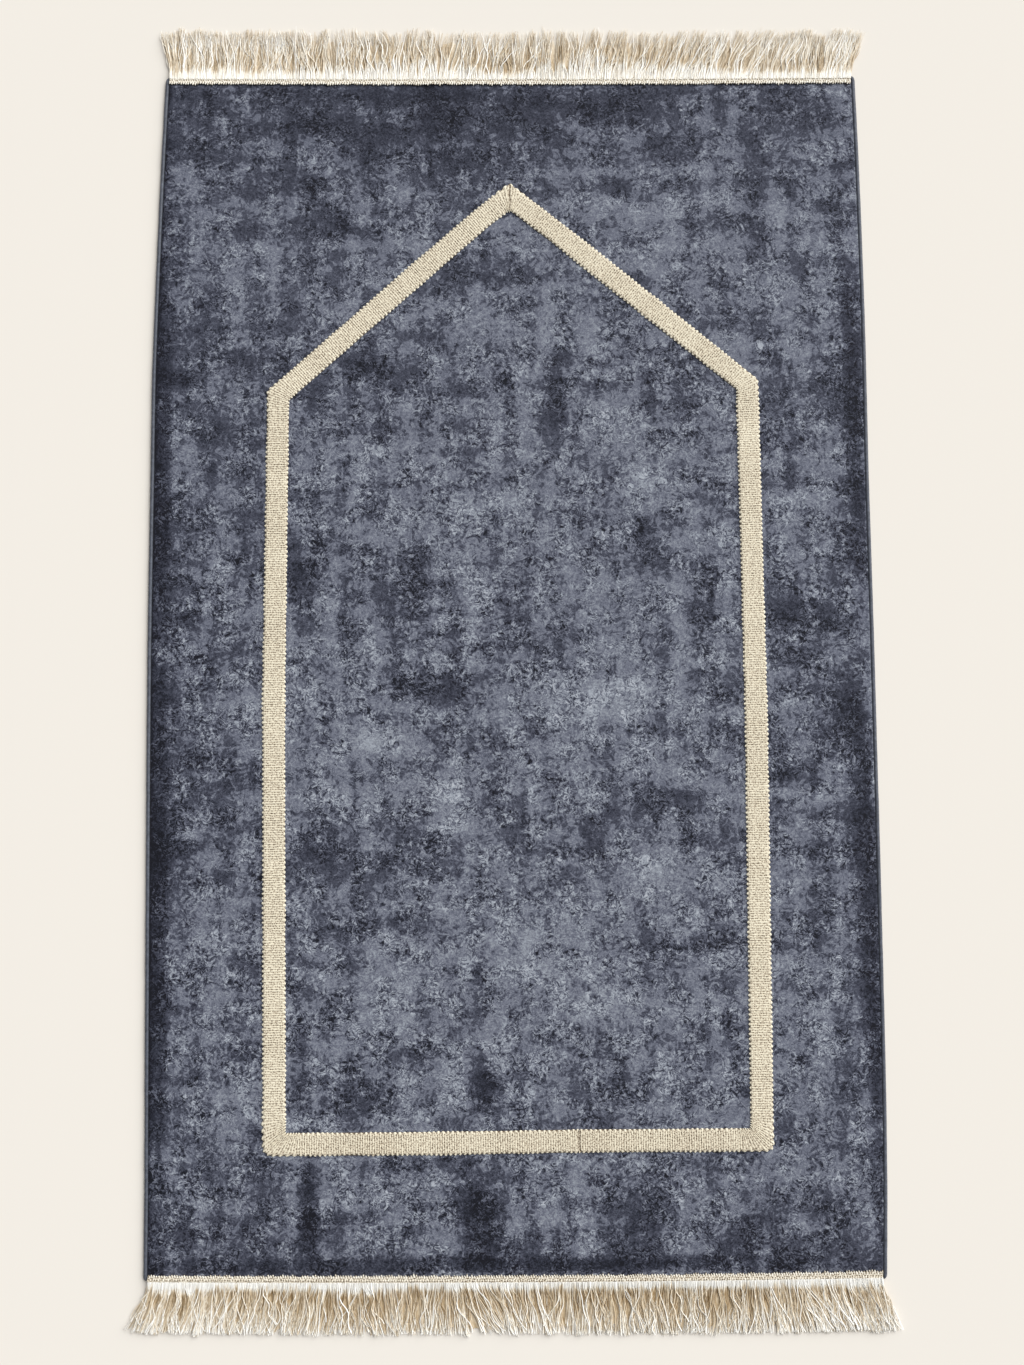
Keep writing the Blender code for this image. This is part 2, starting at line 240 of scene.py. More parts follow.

# Where the pile was pressed down, dark, or brushed up, light: place, half sizes, turn and tone.
# The first four, along the bindings, and the thin strips across both ends, along the tapes, are
# painted shade; the broad ones round the border make it darker towards its sides and ends.
Mark = namedtuple("Mark", "across along half_wide half_long turn tone")
MARKS = [Mark(*row) for row in (
    (-0.341, 0.239, 0.010, 0.166, 0, -0.19), (-0.340, -0.226, 0.010, 0.238, 0, -0.22),
    (0.339, 0.223, 0.010, 0.156, 1, -0.17), (0.339, -0.270, 0.010, 0.218, 2, -0.20),
    (-0.005, 0.567, 0.347, 0.011, 0, -0.04), (0.103, 0.546, 0.059, 0.015, 4, -0.05),
    (-0.194, 0.535, 0.040, 0.014, 0, -0.06), (-0.065, 0.551, 0.018, 0.024, 0, -0.07),
    (0.307, 0.544, 0.035, 0.014, 0, -0.07), (-0.317, 0.508, 0.020, 0.014, 0, -0.07),
    (-0.278, 0.492, 0.025, 0.025, 0, 0.05), (-0.159, 0.433, 0.037, 0.009, -35, -0.13),
    (-0.203, 0.474, 0.030, 0.010, -20, -0.07), (-0.139, 0.509, 0.010, 0.026, 12, -0.06),
    (-0.257, 0.390, 0.029, 0.026, 0, 0.04), (0.141, 0.445, 0.059, 0.039, -35, 0.03),
    (0.281, 0.515, 0.030, 0.020, 0, 0.04), (0.242, 0.429, 0.010, 0.030, 0, -0.13),
    (0.112, 0.466, 0.020, 0.010, -25, -0.10), (0.286, 0.318, 0.020, 0.033, 0, 0.04),
    (0.295, 0.184, 0.019, 0.039, 0, 0.05), (0.280, 0.042, 0.041, 0.011, 0, -0.08),
    (0.311, -0.060, 0.021, 0.029, 0, -0.09), (0.261, -0.117, 0.011, 0.008, 0, -0.14),
    (0.280, -0.137, 0.023, 0.013, 0, 0.08), (0.270, -0.372, 0.025, 0.042, 0, 0.05),
    (-0.325, 0.280, 0.031, 0.009, -4, -0.13), (-0.276, 0.209, 0.023, 0.039, 0, -0.04),
    (-0.275, 0.076, 0.023, 0.029, 0, 0.07), (-0.294, -0.098, 0.042, 0.008, -24, -0.05),
    (-0.324, -0.183, 0.023, 0.015, 0, -0.13), (-0.309, 0.040, 0.019, 0.007, 0, -0.12),
    (-0.283, -0.283, 0.025, 0.038, 0, 0.06), (-0.282, -0.423, 0.026, 0.034, 0, 0.02),
    (-0.027, 0.376, 0.041, 0.009, 2, -0.12), (-0.096, 0.331, 0.029, 0.012, 30, 0.06),
    (-0.135, 0.291, 0.035, 0.010, -3, -0.13), (0.046, 0.267, 0.010, 0.035, 0, -0.15),
    (-0.066, 0.311, 0.039, 0.010, -10, -0.08), (0.101, 0.225, 0.027, 0.037, 0, 0.04),
    (-0.154, 0.188, 0.031, 0.023, 0, 0.05), (-0.024, 0.152, 0.035, 0.014, -8, 0.09),
    (-0.201, 0.082, 0.012, 0.025, 0, -0.14), (-0.097, 0.069, 0.014, 0.035, 0, -0.11),
    (-0.037, 0.049, 0.009, 0.042, 0, 0.09), (0.005, 0.059, 0.013, 0.039, 0, -0.10),
    (0.131, 0.108, 0.015, 0.025, 0, -0.12), (0.088, 0.136, 0.027, 0.010, 0, -0.08),
    (0.186, 0.062, 0.015, 0.044, 0, -0.11), (-0.083, -0.022, 0.033, 0.013, 4, -0.15),
    (0.095, -0.039, 0.044, 0.017, 8, 0.12), (-0.126, -0.077, 0.036, 0.015, 0, 0.08),
    (-0.030, -0.088, 0.017, 0.013, 0, -0.12), (-0.076, -0.072, 0.012, 0.012, 0, -0.09),
    (-0.183, -0.172, 0.021, 0.023, 0, -0.12), (-0.107, -0.186, 0.025, 0.025, 0, -0.11),
    (-0.064, -0.124, 0.021, 0.015, 0, 0.10), (0.076, -0.175, 0.011, 0.019, 0, -0.12),
    (0.153, -0.137, 0.033, 0.012, 0, -0.11), (0.133, -0.200, 0.015, 0.013, 0, 0.12),
    (-0.136, -0.254, 0.049, 0.008, 9, -0.10), (-0.098, -0.289, 0.034, 0.017, 0, 0.07),
    (0.006, -0.276, 0.028, 0.032, 0, 0.08), (0.177, -0.273, 0.032, 0.009, 28, -0.09),
    (0.081, -0.324, 0.042, 0.028, 0, 0.07), (0.099, -0.399, 0.008, 0.021, 0, -0.12),
    (-0.148, -0.413, 0.019, 0.019, 0, -0.17), (-0.031, -0.408, 0.012, 0.024, 0, -0.22),
    (-0.204, -0.396, 0.008, 0.028, 0, -0.10), (-0.194, -0.514, 0.009, 0.039, -4, -0.26),
    (-0.034, -0.534, 0.016, 0.034, 0, -0.26), (-0.108, -0.476, 0.041, 0.008, 0, -0.10),
    (-0.132, -0.512, 0.022, 0.022, 0, 0.02), (0.041, -0.509, 0.030, 0.028, 0, 0.02),
    (0.116, -0.530, 0.022, 0.024, -14, -0.13), (0.209, -0.543, 0.028, 0.009, 42, -0.13),
    (0.267, -0.483, 0.024, 0.024, 0, 0.02), (-0.291, -0.535, 0.032, 0.013, 0, -0.11),
    (-0.015, -0.568, 0.327, 0.006, 0, -0.16), (-0.285, 0.022, 0.060, 0.404, 0, -0.05),
    (-0.006, -0.522, 0.356, 0.049, 0, -0.03), (0.298, 0.017, 0.054, 0.405, 0, -0.04),
    (-0.154, 0.529, 0.228, 0.059, 0, -0.08), (0.113, 0.548, 0.297, 0.059, 0, -0.06),
    (-0.015, -0.565, 0.336, 0.007, 0, -0.05), (-0.086, 0.261, 0.107, 0.059, 0, -0.05),
    (0.129, 0.294, 0.059, 0.039, -35, -0.04), (-0.174, 0.129, 0.033, 0.078, 0, -0.03),
    (-0.291, 0.328, 0.049, 0.029, -10, -0.05), (-0.010, 0.030, 0.048, 0.015, -6, -0.05),
    (-0.068, 0.059, 0.058, 0.058, 0, -0.02), (0.266, -0.538, 0.047, 0.024, 0, -0.04),
    (-0.330, -0.026, 0.010, 0.015, 0, -0.08), (-0.023, 0.241, 0.015, 0.049, 0, 0.10),
    (-0.008, 0.115, 0.012, 0.024, 0, 0.06), (-0.096, 0.299, 0.024, 0.010, 0, 0.06),
    (-0.272, 0.341, 0.034, 0.024, 0, 0.09), (-0.277, 0.243, 0.019, 0.015, 0, 0.06),
    (-0.272, 0.181, 0.019, 0.010, 0, 0.06), (-0.110, -0.157, 0.013, 0.014, 0, 0.10),
    (-0.280, -0.183, 0.024, 0.011, 0, 0.06), (0.100, -0.109, 0.015, 0.011, 0, 0.06),
    (0.153, 0.052, 0.024, 0.010, 0, 0.06), (0.268, -0.011, 0.029, 0.008, 0, 0.05),
    (0.185, -0.339, 0.017, 0.014, 0, 0.06), (-0.083, -0.320, 0.028, 0.011, 0, 0.05),
    (-0.306, -0.495, 0.028, 0.033, 0, 0.07), (0.090, -0.488, 0.011, 0.019, 0, 0.05),
    (0.187, -0.516, 0.023, 0.019, 0, 0.06), (0.295, -0.501, 0.014, 0.014, 0, 0.05),
    (-0.239, 0.511, 0.015, 0.025, 0, 0.05), (0.284, 0.400, 0.015, 0.015, 0, 0.05),
    (-0.204, 0.434, 0.039, 0.028, 0, -0.06), (-0.147, 0.474, 0.020, 0.020, 0, -0.05),
    (-0.130, 0.404, 0.014, 0.020, 0, -0.06), (0.114, 0.425, 0.028, 0.024, 0, -0.05),
    (0.321, 0.506, 0.014, 0.045, 0, -0.06), (0.280, 0.459, 0.015, 0.015, 0, -0.04),
    (0.237, 0.342, 0.012, 0.029, 0, -0.06), (0.196, 0.548, 0.015, 0.010, 0, -0.05),
    (-0.293, 0.073, 0.027, 0.017, 0, -0.05), (-0.315, -0.005, 0.012, 0.019, 0, -0.04),
    (-0.187, 0.242, 0.012, 0.027, 0, -0.05), (-0.204, 0.152, 0.012, 0.027, 0, -0.05),
    (-0.187, 0.016, 0.012, 0.024, 0, -0.05), (-0.203, -0.073, 0.012, 0.029, 0, -0.04),
    (-0.306, -0.436, 0.017, 0.017, 0, -0.06), (-0.339, -0.474, 0.009, 0.023, 0, -0.06),
    (0.271, -0.378, 0.017, 0.026, 0, -0.06), (0.290, -0.469, 0.014, 0.017, 0, -0.06),
    (-0.061, -0.359, 0.017, 0.017, 0, -0.05), (-0.148, -0.528, 0.036, 0.013, 0, -0.06),
    (0.240, -0.511, 0.011, 0.017, 0, -0.06), (0.123, 0.228, 0.018, 0.018, 0, -0.04))]
# Painted shade beside the left binding and a painted highlight beside the right one.
crush_and_shade = (BOUND_SHADE_AND_HIGHLIGHT[0] * np.exp((left - x) / BOUND_RUN)
         + BOUND_SHADE_AND_HIGHLIGHT[1] * np.exp((x - right) / BOUND_RUN))
for mark in MARKS:
    turn = math.radians(mark.turn)
    from_x, from_y = x - mark.across, y - mark.along
    sideways = (from_x * math.cos(turn) + from_y * math.sin(turn)) / mark.half_wide
    lengthways = (from_y * math.cos(turn) - from_x * math.sin(turn)) / mark.half_long
    crush_and_shade += mark.tone * np.exp(-MARK_FALL * (np.abs(sideways) ** 3 + np.abs(lengthways) ** 3))
# The pile lies a little lower in the ripples, and where its tone is dark, pressed or painted shade.
ripple = sum(np.sin(2 * np.pi * (x * a + y * b) + start) for a, b, start in RIPPLES)
pressed = np.clip(0.35 + 0.3 * np.tanh(ripple * 0.6) - 2.5 * crush_and_shade, 0, 1)
thick = thick - PILE_DIP * pressed * np.minimum(side_share, end_share)
panel = lay_grid("velvet_panel", np.dstack((x, y, thick)))
tell(panel, "crush_and_shade", crush_and_shade)

bpy.ops.object.mode_set(mode="EDIT")
bpy.ops.mesh.select_all(action="DESELECT")
bpy.ops.mesh.select_non_manifold()
bpy.ops.mesh.extrude_edges_move()
bpy.ops.transform.resize(value=(1, 1, 0), center_override=(0, 0, 0))
bpy.ops.mesh.edge_face_add()
face_out(50)

# The velvet's patterns, in repeats to the metre, so 500 makes tufts 2 mm wide. Its fibres are far
# too fine to show, and the smallest tufts are drawn 1 mm wide. A drift also has its reach in
# metres, and a patch is its repeats across and along, gain and seed.
FRAY = (120.0, 0.014)
SWIRL = (60.0, 0.026)
RUFFLE = (140.0, 0.010)
PATCHES = (((7, 7, 1), 0.20, 0.0), ((13, 50, 1), 0.60, 1.1), ((50, 11, 1), 0.60, 2.2),
           ((60, 60, 1), 0.35, 5.5), ((180, 180, 1), 0.14, 7.7))
PATCH_EDGE = (230, 230, 1)
COARSE_TUFTS = 300.0
TUFTS = 500.0
FINE_TUFTS = 900.0
FIBRE_ENDS = 1000.0
STROKES = 62.0
CURLS = 120.0
SPECKS = 260.0
BRUSHED_AREAS = 45.0
# Shares of a noise's range or of a cell, which set how wide a stroke, a curl or a speck is.
STROKE_WIDTH = 0.10
CURL_RADIUS = 0.34
CURL_LINE = (0.03, 0.13)
CURL_MIDDLE = -0.3
SPECK_STEP = (0.39, 0.33)
# The patches' two levels, dark and light, with a steep edge between them.
PILE_TONE = 0.114
PATCH_STEPS = ((0.22, 0.18), (0.34, 0.26), (0.42, 0.30), (0.450, 0.33), (0.465, 0.51), (0.50, 0.53),
               (0.60, 0.56), (0.615, 0.63), (0.68, 0.62), (0.76, 0.69))
PILE_TONES = ((0.06, "0b0d18"), (0.135, "212431"), (0.21, "343744"), (0.285, "454856"),
              (0.345, "545866"), (0.405, "626674"), (0.465, "717583"), (0.53, "838892"),
              (0.62, "969da8"), (0.72, "acb1ba"))


def add_node(tree, kind, sockets=(), stops=(), **settings):
    """Add a node, set it, and link or fill its inputs. Stops are a ramp's hex colours or greys."""
    node = tree.nodes.new("ShaderNode" + kind)
    for name, value in settings.items():
        setattr(node, name, value)
    for socket, value in dict(sockets).items():
        if isinstance(value, bpy.types.NodeSocket):
            tree.links.new(value, node.inputs[socket])
        else:
            node.inputs[socket].default_value = value
    elements = node.color_ramp.elements if stops else ()
    while len(elements) < len(stops):
        elements.new(0.5)
    for element, (stop, colour) in zip(elements, stops):
        element.position = stop
        element.color = from_hex(colour) if isinstance(colour, str) else (colour, colour, colour, 1.0)
    return node


def drifted(tree, place, scale, reach, seed):
    """The place, pushed about by a noise, so that what is drawn on it curls."""
    noise = add_node(tree, "TexNoise", {"Vector": place, "W": seed, "Scale": scale, "Detail": 1.0,
                                        "Roughness": 0.6}, noise_dimensions="4D")
    push = add_node(tree, "VectorMath", {0: noise.outputs["Color"], 1: (0.5, 0.5, 0.5)},
                    operation="SUBTRACT")
    push = add_node(tree, "VectorMath", {0: push.outputs[0], "Scale": reach}, operation="SCALE")
    return add_node(tree, "VectorMath", {0: place, 1: push.outputs[0]}, operation="ADD").outputs[0]


def patch_layer(tree, total, place, stretch, detail, gain, seed):
    """Add a noise, centred on nought, to the total."""
    place = add_node(tree, "VectorMath", {0: place, 1: stretch}, operation="MULTIPLY").outputs[0]
    noise = add_node(tree, "TexNoise", {"Vector": place, "W": seed, "Scale": 1.0, "Detail": detail,
                                        "Roughness": 0.65}, noise_dimensions="4D")
    off = add_node(tree, "Math", {0: noise.outputs[0], 1: 0.5}, operation="SUBTRACT")
    return add_node(tree, "Math", {0: off.outputs[0], 1: gain, 2: total},
                    operation="MULTIPLY_ADD").outputs[0]


def tuft_layer(tree, total, place, scale, gain):
    """Add small flat cells, each of its own tone round nought, to the total."""
    cells = add_node(tree, "TexVoronoi", {"Vector": place, "Scale": scale}, voronoi_dimensions="2D")
    cells = add_node(tree, "SeparateColor", {0: cells.outputs["Color"]})
    off = add_node(tree, "Math", {0: cells.outputs[0], 1: 0.5}, operation="SUBTRACT")
    return add_node(tree, "Math", {0: off.outputs[0], 1: gain, 2: total},
                    operation="MULTIPLY_ADD").outputs[0]


def stroke_layer(tree, total, place, scale, gain, seed):
    """Add thin curling lines to the total, lighter where the gain is above nought."""
    noise = add_node(tree, "TexNoise", {"Vector": place, "W": seed, "Scale": scale, "Detail": 1.0},
                     noise_dimensions="4D")
    off = add_node(tree, "Math", {0: noise.outputs[0], 1: 0.5}, operation="SUBTRACT")
    off = add_node(tree, "Math", {0: off.outputs[0]}, operation="ABSOLUTE")
    line = add_node(tree, "MapRange", {0: off.outputs[0], 1: 0.0, 2: STROKE_WIDTH, 3: 1.0, 4: 0.0},
                    interpolation_type="SMOOTHSTEP")
    return add_node(tree, "Math", {0: line.outputs[0], 1: gain, 2: total},
                    operation="MULTIPLY_ADD").outputs[0]


def curl_layer(tree, total, place, scale, gain):
    """Add small light rings, one to a cell, with a dark middle, to the total."""
    cells = add_node(tree, "TexVoronoi", {"Vector": place, "Scale": scale}, voronoi_dimensions="2D")
    ring = add_node(tree, "Math", {0: cells.outputs["Distance"], 1: CURL_RADIUS}, operation="SUBTRACT")
    ring = add_node(tree, "Math", {0: ring.outputs[0]}, operation="ABSOLUTE")
    ring = add_node(tree, "MapRange", {0: ring.outputs[0], 1: CURL_LINE[0], 2: CURL_LINE[1], 3: 1.0,
                                       4: CURL_MIDDLE}, interpolation_type="SMOOTHSTEP")
    chosen = add_node(tree, "SeparateColor", {0: cells.outputs["Color"]})
    chosen = add_node(tree, "MapRange", {0: chosen.outputs[1], 1: 0.45, 2: 0.75, 3: 0.0, 4: gain})
    return add_node(tree, "Math", {0: ring.outputs[0], 1: chosen.outputs[0], 2: total},
                    operation="MULTIPLY_ADD").outputs[0]


def speck_layer(tree, total, place, scale, gain, seed):
    """Add small scattered specks to the total."""
    noise = add_node(tree, "TexNoise", {"Vector": place, "W": seed, "Scale": scale, "Detail": 0.0},
                     noise_dimensions="4D")
    speck = add_node(tree, "MapRange", {0: noise.outputs[0], 1: SPECK_STEP[0], 2: SPECK_STEP[1],
                                        3: 0.0, 4: 1.0}, interpolation_type="SMOOTHSTEP")
    return add_node(tree, "Math", {0: speck.outputs[0], 1: gain, 2: total},
                    operation="MULTIPLY_ADD").outputs[0]


def dye(tree, shader, tone, tones, relief, finish):
    """Colour the shader by where the tone falls on the tones, raise it by it, and set its finish."""
    colour = add_node(tree, "ValToRGB", {0: tone}, tones)
    tree.links.new(colour.outputs[0], shader.inputs["Base Color"])
    if relief:
        bump = add_node(tree, "Bump", {"Height": tone, "Distance": relief, "Strength": 0.5})
        tree.links.new(bump.outputs[0], shader.inputs["Normal"])
    for socket, value in finish.items():
        shader.inputs[socket].default_value = value


# Crushed velvet: level light ground with dark patches in bars along and across the cloth. Their
# edges fray into the curled tufts, and short light and dark strokes lie over both.
material, tree, shader = new_material("crushed_velvet")
place = add_node(tree, "TexCoord").outputs["Object"]
frayed = drifted(tree, place, *FRAY, seed=0.0)
swirled = drifted(tree, place, *SWIRL, seed=3.0)
ruffled = drifted(tree, place, *RUFFLE, seed=5.0)
# The crush attribute: the pressed and brushed patches, with the painted shade and highlight along the
# bindings and the tapes.
crushed_and_shaded = add_node(tree, "Attribute", attribute_name="crush_and_shade").outputs["Fac"]
field = crushed_and_shaded
for stretch, gain, seed in PATCHES:
    field = patch_layer(tree, field, frayed, stretch, 3.0, gain, seed)
edge_field = patch_layer(tree, field, swirled, PATCH_EDGE, 1.0, 0.45, 31.0)
edge_field = tuft_layer(tree, edge_field, swirled, COARSE_TUFTS, 0.06)
raised = add_node(tree, "Math", {0: edge_field, 1: 0.5}, operation="ADD").outputs[0]
tone = add_node(tree, "ValToRGB", {0: raised}, PATCH_STEPS).outputs[0]
tone = add_node(tree, "Math", {0: tone, 1: 0.60, 2: PILE_TONE}, operation="MULTIPLY_ADD").outputs[0]
tone = add_node(tree, "Math", {0: field, 1: 0.10, 2: tone}, operation="MULTIPLY_ADD").outputs[0]
tone = add_node(tree, "Math", {0: crushed_and_shaded, 1: 0.30, 2: tone}, operation="MULTIPLY_ADD").outputs[0]
nap = tuft_layer(tree, 0.0, swirled, COARSE_TUFTS, 0.05)
nap = tuft_layer(tree, nap, ruffled, TUFTS, 0.10)
nap = tuft_layer(tree, nap, ruffled, FINE_TUFTS, 0.32)
nap = patch_layer(tree, nap, swirled, PATCH_EDGE, 1.0, 0.06, 31.0)
nap = stroke_layer(tree, nap, ruffled, STROKES, 0.05, 1.7)
nap = stroke_layer(tree, nap, ruffled, STROKES, -0.08, 9.3)
nap = curl_layer(tree, nap, ruffled, CURLS, 0.06)
nap = speck_layer(tree, nap, ruffled, SPECKS, -0.11, 4.4)
# The nap stands rough in some areas and lies smooth in others, and shows less far off.
brushed = add_node(tree, "TexNoise", {"Vector": frayed, "Scale": BRUSHED_AREAS, "Detail": 2.0})
brushed = add_node(tree, "MapRange", {0: brushed.outputs[0], 1: 0.41, 2: 0.59, 3: 0.34, 4: 1.26})
far_off = add_node(tree, "SeparateXYZ", {0: place})
far_off = add_node(tree, "MapRange", {0: far_off.outputs["Y"], 1: 0.05, 2: 0.55, 3: 1.0, 4: 0.72})
brushed = add_node(tree, "Math", {0: brushed.outputs[0], 1: far_off.outputs[0]}, operation="MULTIPLY")
tone = add_node(tree, "Math", {0: nap, 1: brushed.outputs[0], 2: tone},
                operation="MULTIPLY_ADD").outputs[0]
tone = tuft_layer(tree, tone, place, FIBRE_ENDS, 0.10)
dye(tree, shader, tone, PILE_TONES, 0.0006, {"Roughness": 0.8, "Specular IOR Level": 0.25,
                                             "Sheen Weight": 0.10, "Sheen Roughness": 0.4})
finish_piece(panel, material, "pile_cloth")

# ---------------------------------------------------------------------------------------------
# The mihrab: cream gimp braid, cord passed back and forth across a 21.5 mm band so that it ribs
# and scallops at both edges, sewn flat on the pile in one run. Its passes fan at each corner,
# it is folded to a mitre at the point, and its cut ends meet in the bottom run.

BRAID_WIDTH = 0.0215
BRAID_FOOT = 0.00405
BRAID_CROWN = 0.0060
BRAID_SHOULDER = 0.0050
PASS_PITCH = 0.00227
PASS_STEPS = 4
BEAD_DEPTH = 0.0025
BEAD_OUT = 0.0006
BEAD_ROUND = 0.65
BEAD_DROP = 0.0006
RIB_DEPTH = 0.0006
RIM = 0.16
SEAM_SINK = 0.0006
LONG_RUN_WIDER = 0.03
BRAID_FACES = 16
LOOP_ROW = 0.0021
# The braid's foot ring is painted near black, as the shade under its edge that shows between beads.
FOOT_SHADE = -0.6
YARN_FUZZ = (700, 700, 700)
# How far the hand strays: by how much of a pass, at the edge, in height and in tone.
PASS_WANDER = 0.10
EDGE_WANDER = 0.0003
HEIGHT_WANDER = 0.00008
TONE_WANDER = 0.03
BRAID_TONES = ((0.0, "6c5d4b"), (0.2, "a29480"), (0.4, "c4b8a3"), (0.6, "dad0ba"), (0.8, "e9e1ca"),
               (1.0, "f5efda"))

# The route in metres, with each outer corner's radius, the length over which its passes fan, and
# how much the mitre fills its inner corner.
Corner = namedtuple("Corner", "across along radius fan fill")
BRAID_ROUTE = [Corner(*row) for row in (
    (0.0593, -0.4546, 0, 0.004, 0), (0.2315, -0.4551, 0.0070, 0.020, 0),
    (0.2346, -0.0600, 0, 0.010, 0), (0.2328, 0.2690, 0.0060, 0.016, 0),
    (0.0480, 0.4235, 0, 0.010, 0), (0.0026, 0.4598, 0.0026, 0.0115, 0.0022),
    (-0.0250, 0.4383, 0, 0.010, 0), (-0.0760, 0.3938, 0, 0.010, 0),
    (-0.2250, 0.2620, 0.0075, 0.016, 0), (-0.2285, -0.0300, 0, 0.010, 0),
    (-0.2270, -0.4552, 0.0095, 0.024, 0), (-0.0800, -0.4556, 0, 0.010, 0),
    (0.0590, -0.4546, 0, 0.004, 0))]
POINT_CORNER = 5
FILL_RUN = 0.0034

corners = np.array([(c.across, c.along) for c in BRAID_ROUTE])
legs = np.diff(corners, axis=0)
leg_long = np.hypot(*legs.T)
heading = legs / leg_long[:, None]
outward = np.column_stack((heading[:, 1], -heading[:, 0]))
leg_start = np.concatenate(([0], np.cumsum(leg_long)))
braid_long = leg_start[-1]
passes = round(braid_long / PASS_PITCH)
stations = np.linspace(0, braid_long, passes * PASS_STEPS + 1)
leg = np.clip(np.searchsorted(leg_start, stations, side="right") - 1, 0, len(legs) - 1)
middle = corners[leg] + heading[leg] * (stations - leg_start[leg])[:, None]
slant = np.zeros_like(stations)
rounding = np.zeros((len(stations), 2))
filling = np.zeros_like(stations)
for i in range(1, len(corners) - 1):
    corner = BRAID_ROUTE[i]
    half_turn = math.atan(np.cross(heading[i - 1], heading[i]) / (1 + heading[i - 1] @ heading[i]))
    gap = stations - leg_start[i]
    side = np.where(gap < 0, -1, 1)
    slant -= side * math.tan(half_turn) * np.clip(1 - np.abs(gap) / corner.fan, 0, 1)
    # The outer edge follows an arc round the corner, of its own radius.
    tangent = corner.radius * math.tan(abs(half_turn))
    if tangent:
        from_tip = np.abs(gap) * (1 + BRAID_WIDTH / 2 * math.tan(abs(half_turn)) / corner.fan)
        angle = abs(half_turn) * (1 - np.clip(from_tip / tangent, 0, 1))
        onward = tangent - corner.radius * np.sin(angle) - np.minimum(from_tip, tangent)
        inward = corner.radius * (1 - np.cos(angle))
        near_it = (from_tip < tangent)[:, None]
        rounding += near_it * (heading[leg] * (side * onward)[:, None]
                               - outward[leg] * inward[:, None])
    filling += corner.fill * np.clip(1 - np.abs(gap) / FILL_RUN, 0, 1)
lean = outward[leg] + heading[leg] * slant[:, None]

draw = np.random.default_rng(11)
count = stations / braid_long * passes
knots = np.arange(0, passes + 8, 7)
turn_of_pass = count + np.interp(count, knots, draw.normal(0, PASS_WANDER, len(knots)))
share = np.linspace(-1, 1, BRAID_FACES + 1)
p, q = np.meshgrid(turn_of_pass, share, indexing="ij")
bead_right = np.abs(np.cos(np.pi * p / 2)) ** BEAD_ROUND
bead_left = np.abs(np.sin(np.pi * p / 2)) ** BEAD_ROUND
bead = np.where(q > 0, bead_right, bead_left)
loose = np.interp(count, knots, draw.normal(0, EDGE_WANDER, len(knots)))[:, None]
edge_pull = (BEAD_DEPTH * (1.15 - bead) - BEAD_OUT + loose) / (BRAID_WIDTH / 2) * q ** 8
# The long runs lie a little wider than the bottom one, which was drawn tighter.
reach = q * (1 - edge_pull) * (1 + LONG_RUN_WIDER * np.abs(heading[leg][:, 1:]))
rib = np.abs(np.cos(np.pi * p))
stagger = (np.arange(BRAID_FACES + 1)[None, :] + np.floor(p + 0.5).astype(int)) % 2
weave = rib * (0.72 + 0.28 * stagger)
rim = ease((1 - np.abs(q)) / RIM)
height = (BRAID_SHOULDER + (BRAID_CROWN - BRAID_SHOULDER) * rim
          - RIB_DEPTH * (1 - weave) * (0.4 + 0.6 * rim) - BEAD_DROP * (1 - bead) * (1 - rim))
height += draw.normal(0, HEIGHT_WANDER, height.shape)
height = np.minimum(height, BRAID_CROWN)

# The mitre seam at the point and the joint of the cut ends sink in and show dark.
from_point = stations[:, None] - leg_start[POINT_CORNER] - 0.0007 * np.sin(5 * q)
seam = np.exp(-(from_point / 0.0010) ** 2)
seam += 0.8 * np.exp(-((stations[:, None] - 0.0012 * q ** 2) / 0.0009) ** 2)
seam += 0.8 * np.exp(-((braid_long - stations) / 0.0007) ** 2)[:, None]
height -= SEAM_SINK * np.clip(seam, 0, 1)

# The tone is light on the crowns and the beads, a painted highlight, with painted shade in the
# hollows between ribs and the gaps between beads; it is dark in the seams, and duller on the
# bottom run.
knots = np.arange(0, passes + 8, 5)
tone_and_painted_light = 0.735 + 0.14 * (weave - 0.6) + (1.1 * (bead - 0.84) + 0.38) * (1 - rim) - 0.45 * seam
tone_and_painted_light -= 0.05 * (np.abs(heading[leg][:, :1]) > 0.99)
tone_and_painted_light += draw.normal(0, TONE_WANDER, tone_and_painted_light.shape)
tone_and_painted_light += np.interp(count, knots, draw.normal(0, TONE_WANDER, len(knots)))[:, None]


def close_up(smooth_to):
    """Weld what coincides in the newest piece, cap what is open, and turn its faces outwards."""
    bpy.ops.object.mode_set(mode="EDIT")
    bpy.ops.mesh.select_all(action="SELECT")
    bpy.ops.mesh.remove_doubles(threshold=1e-6)
    bpy.ops.mesh.select_all(action="DESELECT")
    bpy.ops.mesh.select_non_manifold()
    bpy.ops.mesh.fill_holes(sides=0)
    face_out(smooth_to)


def close_ring(top, under):
    """One row to a ring: along the top, back along the underside, and the first point again."""
    return np.concatenate((top, under, top[:, :1]), axis=1)


foot_share = np.array((0.985, 0.35, -0.35, -0.985))
outer_share = np.clip(q, 0, 1)[:, :, None] ** 3
top_xy = (middle[:, None, :] + lean[:, None, :] * (reach * BRAID_WIDTH / 2)[:, :, None]
          + rounding[:, None, :] * outer_share
          - lean[:, None, :] * filling[:, None, None] * np.clip(-q, 0, 1)[:, :, None] ** 3)
foot_xy = (middle[:, None, :] + lean[:, None, :] * (foot_share * BRAID_WIDTH / 2)[None, :, None]
           + rounding[:, None, :] * (np.clip(foot_share, 0, 1) ** 3)[None, :, None])
foot_row = np.broadcast_to(foot_share, (len(stations), len(foot_share)))
ring_xy = close_ring(top_xy, foot_xy)
ring_z = close_ring(height, np.full(foot_row.shape, BRAID_FOOT))
ring_row = close_ring(q, foot_row)
ring_pass = np.broadcast_to(turn_of_pass[:, None], ring_row.shape)
braid = lay_grid("gimp_braid", np.dstack((ring_xy, ring_z)))
